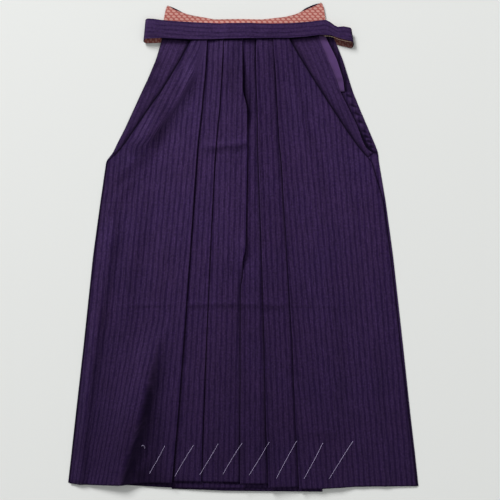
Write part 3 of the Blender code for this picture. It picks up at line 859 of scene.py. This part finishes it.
# fold is the side of the folded edge, and grain how far the stripes lean per metre down
backPanel = {"rowStep": 0.0026}
pleat = {"columns": 36, "ripple": 0.0005, "creases": storageCreases}
sidePanel = {"columns": 72, "ripple": 0.0009}
sidePleat = {"columns": 22, "ripple": 0.0006, "material": "leaf"}
panels = [
    {**backPanel, "name": "backRightCloth", "node": "back_right", "cut": (0.421, 0.937, 0.322),
     "rests": [], "columns": 84, "grain": 0.060,
     "gathers": [(349, 96), (353.5, 106), (357, 114), (360.5, 122), (364, 131.5), (366.6, 137), (369.6, 142),
                 (372, 147), (374.6, 152.5)],
     "covers": [cover("front_side_right", "hem"),
                cover("front_side_right", "right", strength=0.7, reach=0.0010),
                cover("side_pleat_right", "right", reach=0.0030),
                cover("side_facing_right", "right", reach=0.0110)]},
    {**backPanel, "name": "backMiddleCloth", "node": "back_middle", "cut": (0.308, 0.946, 0.240),
     "rests": ["backRightCloth"], "columns": 24, "grain": 0.0, "fold": 1,
     "covers": [cover(node, "hem") for node in ("front_pleat_1", "front_pleat_2", "front_pleat_3",
                                                "front_pleat_4", "front_side_right")]},
    {**backPanel, "name": "backLeftCloth", "node": "back_left", "cut": (0.412, 0.938, 0.325),
     "rests": ["backMiddleCloth"], "columns": 34, "grain": -0.060, "fold": 1,
     "covers": [cover("front_side_left", "left"), cover("front_side_left", "hem"),
                cover("front_pleat_1", "hem"), cover("front_pleat_2", "hem")]},
    {"name": "middleUnderlay", "node": "front_middle_under", "cut": (0.081, 0.930, 0.057),
     "rests": ["backMiddleCloth"], "columns": 8, "grain": 0.0, "rowStep": 0.012},
    {**sidePleat, "name": "sidePleatLeft", "node": "side_pleat_left", "cut": (0.060, 0.300, 0.0122),
     "rests": ["backLeftCloth"], "grain": -0.42, "seed": 11, "rim": "left", "rimBelow": 0.7,
     "covers": [cover("front_side_left", "left", reach=0.0052)]},
    {**sidePleat, "name": "sidePleatRight", "node": "side_pleat_right", "cut": (0.062, 0.305, 0.0133),
     "rests": ["backRightCloth"], "grain": 0.42, "seed": 12,
     "covers": [cover("front_side_right", "right", reach=0.0052)]},
    {**pleat, "name": "frontPleat2", "node": "front_pleat_2", "cut": (0.142, 0.930, 0.116),
     "rests": ["middleUnderlay"], "columns": 40, "grain": -0.024, "fold": 1, "creases": middleCreases,
     "seed": 2, "puff": 0.0022, "order": 1, "hemRise": 0.0045,
     "covers": [cover("front_pleat_1", "right", strength=0.6, reach=0.0014, starts=82),
                cover("front_pleat_3", "left", order=-1, reach=0.0034)]},
    {**pleat, "name": "frontPleat3", "node": "front_pleat_3", "cut": (0.109, 0.933, 0.092),
     "rests": ["frontPleat2"], "grain": 0.0, "fold": -1, "seed": 3, "puff": 0.0022, "order": -1,
     "hemRise": 0.0055,
     "covers": [cover("front_pleat_2", "right", order=1, strength=0.9, reach=0.0013,
                      deeper=({"y": 0.305, "run": 0.045, "reach": 0.0095},)),
                cover("front_pleat_4", "left", reach=0.0036)]},
    {**pleat, "name": "frontPleat1", "node": "front_pleat_1", "cut": (0.120, 0.932, 0.090),
     "rests": ["frontPleat2"], "grain": -0.058, "fold": 1, "seed": 4, "puff": 0.0011, "hemRise": 0.0040,
     "covers": [cover("front_side_left", "right", strength=0.85, reach=0.0014)]},
    {**pleat, "name": "frontPleat4", "node": "front_pleat_4", "cut": (0.125, 0.940, 0.099),
     "rests": ["frontPleat3"], "grain": 0.040, "fold": -1, "seed": 5, "puff": 0.0020, "hemRise": 0.0030,
     "covers": [cover("front_side_right", "left", reach=0.0026, starts=56)]},
    {**sidePanel, "name": "frontSideLeft", "node": "front_side_left", "cut": (0.282, 0.935, 0.177),
     "rests": ["frontPleat1", "sidePleatLeft"], "grain": -0.090, "fold": 1, "seed": 6, "puff": 0.0015,
     "creases": leftCreases, "rim": "left", "rimBelow": 1.0, "hemRise": 0.0015,
     "lean": {"line": [(164, 318), (153, 350), (139, 413), (130, 442), (116, 492)], "amount": 0.11,
              "left": 0.13, "right": 0.024},
     "bias": {"line": [(204, 44), (196, 76), (182, 98), (168, 117), (153, 137), (138, 152)], "angle": 0.46,
              "blend": 0.014, "footRun": 0.030}},
    {**sidePanel, "name": "frontSideRight", "node": "front_side_right", "cut": (0.293, 0.940, 0.190),
     "rests": ["frontPleat4", "sidePleatRight"], "grain": 0.082, "fold": -1, "seed": 7, "puff": 0.0020,
     "creases": rightCreases, "rim": "right", "rimBelow": 0.9, "sewn": ["bastingThreads"]},
    {"name": "sideFacingRight", "node": "side_facing_right", "cut": (0.042, 0.150, 0.0055),
     "rests": ["backRightCloth"], "columns": 14, "grain": 0.42, "ripple": 0.0005,
     "covers": [cover("side_pleat_right", "right", strength=0.35)],
     "material": "facing", "slot": "lilac_facing"},
]
for spec in panels:
    grids[spec["node"]] = panelGrid(spec)
for spec in panels:
    finishPiece(makePanel(spec), spec)
print("panels ready")


# Back band and the tie ends behind it, read across their length
def makeBand(spec):
    faces = facesOf(spec["node"])
    points = faces.reshape(-1, 3)
    xs = np.linspace(points[:, 0].min() + 0.0004, points[:, 0].max() - 0.0004, spec["columns"])
    shares = np.linspace(0, 1, spec["rows"])
    rows = []
    for x in xs:
        cut = cutThrough(faces, 0, x)
        low, high = cut[:, :, 0].min(), cut[:, :, 0].max()
        y = high + shares * (low - high)
        z = topOf(cut, np.clip(y, low + 1e-5, high - 1e-5))
        rows.append(np.column_stack((0 * y + x, y, z - spec["wall"] / 2)))
    centre = soften(rows, 0, 3)
    x, y = centre[..., 0], centre[..., 1]
    centre[..., 2] += spec.get("ripple", 0.0) * softNoise(x, y, 0.05, 0.03, 31)
    normal = 0 * centre + (0.0, 0.0, 1.0)
    clothMap = np.stack((y, x) if spec.get("lengthwise") else (x, y), axis=-1)
    # Painted shade: a thin dark line along the band's top edge, and an even shade over the piece where one
    # is given
    rim = spec.get("rimShade", 0.0) * np.exp(-np.abs(y - y[:, :1]) / 0.0014)
    shade = np.maximum(rim * (0.7 + 0.6 * softNoise(x, y, 0.02, 0.05, 51)), spec.get("shade", 0.0))
    return wallMesh(spec["name"], centre, normal, spec["wall"], clothMap, shade)


band = {"name": "backBand", "node": "back_band", "columns": 150, "rows": 16, "wall": 0.0015,
        "ripple": 0.0006, "rimShade": 0.5, "cut": (0.334, 0.048, 0.0090), "rests": ["backMiddleCloth"],
        "material": "lining", "slot": "patterned_lining"}
# The tie ends behind the band carry painted shade over their whole face
tieEnd = {"columns": 60, "rows": 10, "wall": 0.0015, "lengthwise": True, "shade": 0.75, "rests": []}
backTies = [
    {**tieEnd, "name": "backTieLeft", "node": "back_tie_left", "cut": (0.016, 0.146, 0.0021)},
    {**tieEnd, "name": "backTieRight", "node": "back_tie_right", "cut": (0.019, 0.165, 0.0027)},
]
for spec in [band, *backTies]:
    finishPiece(makeBand(spec), spec)
print("band ready")


def makeFrontTie():
    faces = facesOf(tie["node"])
    low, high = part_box(tie["node"])
    half = tie["wall"] / 2
    xs = np.linspace(low.x + tie["topInset"], high.x - tie["topInset"], tie["steps"])
    over = soften(topOf(cutThrough(faces, 1, place(0, 33)[1]), xs), 0, 6) - half
    leftMiddle, rightMiddle = low.x + tie["insets"][0], high.x - tie["insets"][1]

    def lying(xs):
        # Beneath, with its lined side down: place, height, direction and how far it is turned
        return np.column_stack((xs, 0 * xs + half, 0 * xs, 0 * xs - 1, 0 * xs + 1))

    def loop(middleX, topZ, start, end):
        angles = np.linspace(start, end, tie["turnSteps"])
        sine, cosine = np.sin(angles), np.cos(angles)
        middleZ = (topZ + half) / 2
        radius = topZ - middleZ
        x = middleX + tie["loopStretch"] * radius * cosine
        return np.column_stack((x, middleZ + radius * sine, cosine, sine, 0.5 - 0.5 * sine))

    slopes = np.gradient(over, xs)
    steep = np.hypot(1, slopes)
    path = np.concatenate((
        lying(np.linspace(tie["ends"][0], leftMiddle, tie["endSteps"])[:-1]),
        loop(leftMiddle, over[0], -np.pi / 2, -3 * np.pi / 2),
        np.column_stack((xs, over, -slopes / steep, 1 / steep, 0 * xs))[3:-3],
        loop(rightMiddle, over[-1], np.pi / 2, -np.pi / 2),
        lying(np.linspace(rightMiddle, tie["ends"][1], tie["endSteps"])[1:]),
    ))
    x, z, normalX, normalZ, under = path.T
    drop = under * np.where(x < 0, *tie["drops"])
    top, bottom = (np.interp(x, *places(tie[edge]).T) - drop for edge in ("upper", "lower"))
    run = np.concatenate(([0], np.cumsum(np.hypot(np.diff(x), np.diff(z)))))
    rows, marks = [], []
    for share in np.linspace(0, 1, tie["rows"]):
        crown = tie["crown"] * (1 - (2 * share - 1) ** 2) * (1 - under)
        slant = tie["slant"] * (share - 0.5) * smoothStep((np.abs(x - 0.01) - 0.15) / 0.045)
        rows.append(np.column_stack((x + slant * np.sign(x), top + share * (bottom - top), z + crown)))
        marks.append(np.column_stack((share * (top - bottom), run)))
    normals = np.column_stack((normalX, 0 * x, normalZ))[None].repeat(tie["rows"], axis=0)
    # Painted shade where it rolls round its loops, and on the lined side beneath
    shade = smoothStep(under / 0.35) * np.where(x < 0, *tie["depths"])
    shade = shade[None].repeat(tie["rows"], axis=0)
    return wallMesh(tie["name"], np.array(rows), normals, tie["wall"], np.array(marks), shade, insideSlot=1)


frontTie = makeFrontTie()
finishPiece(frontTie, tie)
frontTie.data.materials.append(materials["lining"])
print("tie ready")


# Sewing that lies on the cloth: long slanting basting stitches near the hem, and the tie's pale edging
def tube(points, radius, sides=6):
    points = np.array(points, float)
    ahead = np.gradient(points, axis=0)
    ahead /= np.linalg.norm(ahead, axis=1)[:, None]
    aside = np.cross(ahead, (0.0, 0.0, 1.0))
    aside /= np.linalg.norm(aside, axis=1)[:, None]
    above = np.cross(aside, ahead)
    angles = 2 * np.pi * np.arange(sides) / sides
    ring = points[:, None] + radius * (np.cos(angles)[None, :, None] * aside[:, None]
                                       + np.sin(angles)[None, :, None] * above[:, None])
    index = np.arange(len(points) * sides).reshape(len(points), sides)
    following = np.roll(index, -1, axis=1)
    faces = np.stack((index[:-1], index[1:], following[1:], following[:-1]), axis=-1).reshape(-1, 4).tolist()
    faces += [index[0].tolist(), index[-1][::-1].tolist()]
    return ring.reshape(-1, 3), faces


def joinTubes(name, tubes, spec):
    vertices, faces = [], []
    for ring, ringFaces in tubes:
        faces += [[corner + len(vertices) for corner in face] for face in ringFaces]
        vertices += ring.tolist()
    flat = np.array([vertices[corner][:2] for face in faces for corner in face])
    thing = addMesh(name, vertices, faces, {"clothMap": flat, "shadeMap": np.zeros(flat.shape)})
    finishPiece(thing, spec)


def surfaceOf(names):
    # The height of these pieces over places on the floor
    vertices, faces = [], []
    for name in names:
        mesh = bpy.data.objects[name].data
        start = len(vertices)
        vertices.extend(vertex.co.copy() for vertex in mesh.vertices)
        faces.extend([corner + start for corner in polygon.vertices] for polygon in mesh.polygons)
    tree = BVHTree.FromPolygons(vertices, faces)

    def height(ground):
        hits = [tree.ray_cast((x, y, 0.2), (0.0, 0.0, -1.0))[0] for x, y in ground]
        return np.array([0.0 if hit is None else hit.z for hit in hits])

    return height


basting = {
    "material": "thread",
    "radius": 0.00027,
    "sag": 0.0006,
    "bow": 0.35,        # in pixels
    "stitches": [
        ((165.2, 445.0), (149.7, 472.7)), ((193.8, 444.1), (175.1, 475.6)), ((218.3, 442.7), (199.8, 473.7)),
        ((242.3, 441.4), (222.9, 473.2)), ((269.2, 440.2), (249.0, 473.7)), ((296.6, 439.7), (276.2, 476.8)),
        ((322.5, 441.9), (303.6, 477.6)), ((352.8, 440.5), (328.8, 477.8)),
    ],
    "tail": [(142.6, 444.6), (143.6, 443.8), (144.8, 444.4), (145.6, 446.0), (145.2, 447.4)],
    "tailRise": 0.0012,
}


def makeBasting():
    height = surfaceOf([spec["name"] for spec in panels])
    radius = basting["radius"]
    tubes = []
    for number, (start, end) in enumerate(basting["stitches"]):
        share = np.linspace(0, 1, 60)
        line = np.outer(1 - share, start) + np.outer(share, end)
        line[:, 0] += basting["bow"] * np.sin(np.pi * share) * (-1) ** number
        ground = places(line)
        z = height(ground)
        z = np.maximum(soften(z, 0, 6), z) + radius * 1.6
        z[[0, -1]] -= basting["sag"]
        tubes.append(tube(np.column_stack((ground, z)), radius))
    ground = places(basting["tail"])
    tubes.append(tube(np.column_stack((ground, height(ground) + basting["tailRise"])), radius))
    joinTubes("bastingThreads", tubes, basting)


edging = {
    "material": "edging",
    "radius": 0.00032,
    "line": [(324, 37.3), (329, 37.4), (333, 38.5), (338, 40.6), (343, 41.9), (348, 43.0), (351, 43.2)],
    "readAbove": (0.0012, 0.003),
}


def makeEdging():
    height = surfaceOf([tie["name"]])
    line = places(edging["line"])
    share, along = np.linspace(0, 1, 24), np.linspace(0, 1, len(line))
    ground = np.column_stack([np.interp(share, along, values) for values in line.T])
    z = np.max([height(ground + (0.0, rise)) for rise in edging["readAbove"]], axis=0) - tie["wall"]
    joinTubes("tieEdging", [tube(np.column_stack((ground, z)), edging["radius"])], edging)


makeBasting()
makeEdging()
print("sewing ready")


# The flat cut of each piece that shows (width, length and area), what is sewn to it and what it rests on are
# read here, and nothing is done with them
for spec in [*panels, band, *backTies, tie]:
    width, length, area = spec["cut"]
    sewn = [bpy.data.objects[name] for name in spec.get("sewn", ())]
    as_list(spec["rests"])


# Floor, light and camera
floorSpec = {"size": 20.0, "level": -0.0002, "look": {"Base Color": (0.79, 0.80, 0.785), "Roughness": 0.9}}


def makeFloor():
    bpy.ops.mesh.primitive_plane_add(size=floorSpec["size"], location=(0, 0, floorSpec["level"]))
    floor = bpy.context.object
    floor.name = "floor"
    material = bpy.data.materials.new("paleFloor")
    material.use_nodes = True
    tree = material.node_tree
    fill(tree, tree.nodes["Principled BSDF"].inputs, floorSpec["look"])
    floor.data.materials.append(material)
    floor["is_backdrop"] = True


light = {
    "keyLight": ((-4.5, 7.5, 5.1), 3.3, 1170.0),    # place, size and energy
    "fillLight": ((2.2, -1.4, 3.2), 2.5, 16.0),
    "sky": {"Color": (0.985, 1.0, 0.99), "Strength": 0.33},
}


def makeLight():
    for name in ("keyLight", "fillLight"):
        lamp = bpy.data.lights.new(name, "AREA")
        (x, y, z), lamp.size, lamp.energy = light[name]
        thing = addThing(name, lamp)
        thing.location = (x, y, z)
        # Turned to the middle of the floor
        thing.rotation_euler = (math.atan2(math.hypot(x, y), z), 0.0, math.atan2(-y, -x) - math.pi / 2)
    world = bpy.data.worlds.new("softSky")
    world.use_nodes = True
    tree = world.node_tree
    fill(tree, tree.nodes["Background"].inputs, light["sky"])
    bpy.context.scene.world = world


view = {"height": 1.75, "sensor": 36.0}


def makeCamera():
    data = bpy.data.cameras.new("camera")
    data.sensor_width = view["sensor"]
    span = photo["size"] * photo["metresPerPixel"]
    data.lens = view["sensor"] * view["height"] / span
    data.clip_end = 20.0
    camera = addThing("camera", data)
    camera.location = (*place(photo["size"] / 2, photo["size"] / 2), view["height"])
    bpy.context.scene.camera = camera


makeFloor()
makeLight()
makeCamera()
bpy.context.scene.view_settings.view_transform = "Standard"
print("stage ready")

bpy.context.view_layer.update()
visualBox = [list(corner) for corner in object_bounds()]
